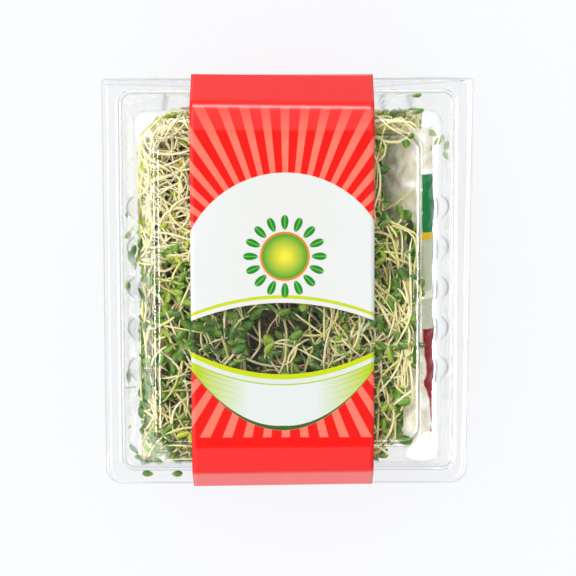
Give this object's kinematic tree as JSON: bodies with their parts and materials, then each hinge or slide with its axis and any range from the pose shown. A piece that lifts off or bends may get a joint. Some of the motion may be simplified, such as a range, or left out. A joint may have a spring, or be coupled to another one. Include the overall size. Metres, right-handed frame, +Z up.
{
  "type": "alfalfa sprouts in a clear hinged pack",
  "caption": "Fresh alfalfa sprouts with seasoning sachets in a clear hinged clamshell, closed by a printed film sleeve with a see-through window.",
  "frame": {"origin": "on the surface below the middle of the pack, at the centre of its outline", "axes": "+Z up from the tray to the lid, +Y towards the hinge, +X towards the side where the sachets stand"},
  "size_m": [0.1356, 0.1538, 0.0491],
  "materials": {
    "clear_sheet": "gloss",
    "printed_film": "gloss",
    "green_sachet_film": "gloss",
    "red_sachet_film": "gloss",
    "pale_sprouts": "satin",
    "green_sprouts": "satin"
  },
  "bodies": {
    "root": {"tray": "clear_sheet", "lid": "clear_sheet", "sleeve": "printed_film", "lime_sachet": "green_sachet_film", "chile_sachet": "red_sachet_film", "sprouts_upper_left": "pale_sprouts", "sprouts_lower_left": "green_sprouts", "sprouts_middle": "green_sprouts", "sprouts_right": "green_sprouts", "sprouts_under_sachets": "green_sprouts"}
  },
  "joints": []
}
